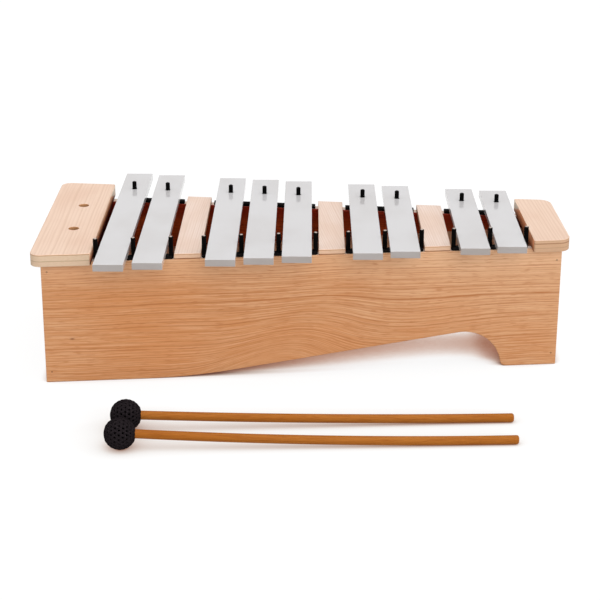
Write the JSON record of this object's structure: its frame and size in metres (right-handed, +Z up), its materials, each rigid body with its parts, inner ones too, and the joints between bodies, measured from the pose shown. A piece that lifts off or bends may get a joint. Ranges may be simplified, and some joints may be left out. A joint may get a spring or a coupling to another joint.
{
  "type": "metallophone",
  "caption": "Alto metallophone: flat aluminium bars pinned in groups over a tapered wooden resonator case with an arched base, lying with its knit-headed mallets.",
  "frame": {"origin": "on the floor, at the middle of the footprint of the whole set, mallets included", "axes": "+X along the row from the low notes to the high ones, +Y from the player to the far side, +Z up"},
  "size_m": [0.5535, 0.4494, 0.1545],
  "materials": {
    "panel_wood": "clear satin varnish on warm brown softwood, grain along the board",
    "floor_wood": "bare thin plywood",
    "ply": "pale birch plywood, clear satin, grain across the case",
    "cushion_rubber": "matt black",
    "sleeve_rubber": "black sleeve over a steel nail",
    "aluminium": "satin anodised",
    "stick_wood": "varnished orange-brown",
    "knit": "black knitted cover"
  },
  "bodies": {
    "case": {"front_panel": "panel_wood", "rear_panel": "panel_wood", "low_end_panel": "panel_wood", "high_end_panel": "panel_wood", "resonator_floor": "floor_wood", "low_end_cap": "ply", "high_end_cap": "ply", "bridge_slat_1": "ply", "bridge_slat_2": "ply", "bridge_slat_3": "ply", "front_cushion_1": "cushion_rubber", "front_cushion_2": "cushion_rubber", "front_cushion_3": "cushion_rubber", "front_cushion_4": "cushion_rubber", "rear_cushion_1": "cushion_rubber", "rear_cushion_2": "cushion_rubber", "rear_cushion_3": "cushion_rubber", "rear_cushion_4": "cushion_rubber", "front_pin_1": "sleeve_rubber", "front_pin_2": "sleeve_rubber", "front_pin_3": "sleeve_rubber", "front_pin_4": "sleeve_rubber", "front_pin_5": "sleeve_rubber", "front_pin_6": "sleeve_rubber", "front_pin_7": "sleeve_rubber", "front_pin_8": "sleeve_rubber", "front_pin_9": "sleeve_rubber", "front_pin_10": "sleeve_rubber", "front_pin_11": "sleeve_rubber", "front_pin_12": "sleeve_rubber", "front_pin_13": "sleeve_rubber", "rear_pin_1": "sleeve_rubber", "rear_pin_2": "sleeve_rubber", "rear_pin_3": "sleeve_rubber", "rear_pin_4": "sleeve_rubber", "rear_pin_5": "sleeve_rubber", "rear_pin_6": "sleeve_rubber", "rear_pin_7": "sleeve_rubber", "rear_pin_8": "sleeve_rubber", "rear_pin_9": "sleeve_rubber"},
    "bar_1": {"bar_1": "aluminium"},
    "bar_2": {"bar_2": "aluminium"},
    "bar_3": {"bar_3": "aluminium"},
    "bar_4": {"bar_4": "aluminium"},
    "bar_5": {"bar_5": "aluminium"},
    "bar_6": {"bar_6": "aluminium"},
    "bar_7": {"bar_7": "aluminium"},
    "bar_8": {"bar_8": "aluminium"},
    "bar_9": {"bar_9": "aluminium"},
    "mallet_1": {"mallet_1_stick": "stick_wood", "mallet_1_head": "knit"},
    "mallet_2": {"mallet_2_stick": "stick_wood", "mallet_2_head": "knit"}
  },
  "joints": [
    {"name": "bar_1_lift", "type": "slide", "parent": "case", "child": "bar_1", "axis": [0, 0, 1], "range_m": [0, 0.06]},
    {"name": "bar_2_lift", "type": "slide", "parent": "case", "child": "bar_2", "axis": [0, 0, 1], "range_m": [0, 0.06]},
    {"name": "bar_3_lift", "type": "slide", "parent": "case", "child": "bar_3", "axis": [0, 0, 1], "range_m": [0, 0.06]},
    {"name": "bar_4_lift", "type": "slide", "parent": "case", "child": "bar_4", "axis": [0, 0, 1], "range_m": [0, 0.06]},
    {"name": "bar_5_lift", "type": "slide", "parent": "case", "child": "bar_5", "axis": [0, 0, 1], "range_m": [0, 0.06]},
    {"name": "bar_6_lift", "type": "slide", "parent": "case", "child": "bar_6", "axis": [0, 0, 1], "range_m": [0, 0.06]},
    {"name": "bar_7_lift", "type": "slide", "parent": "case", "child": "bar_7", "axis": [0, 0, 1], "range_m": [0, 0.06]},
    {"name": "bar_8_lift", "type": "slide", "parent": "case", "child": "bar_8", "axis": [0, 0, 1], "range_m": [0, 0.06]},
    {"name": "bar_9_lift", "type": "slide", "parent": "case", "child": "bar_9", "axis": [0, 0, 1], "range_m": [0, 0.06]},
    {"name": "mallet_1_lift", "type": "slide", "parent": "case", "child": "mallet_1", "axis": [0, 0, 1], "range_m": [0, 0.2]},
    {"name": "mallet_2_lift", "type": "slide", "parent": "case", "child": "mallet_2", "axis": [0, 0, 1], "range_m": [0, 0.2]}
  ]
}
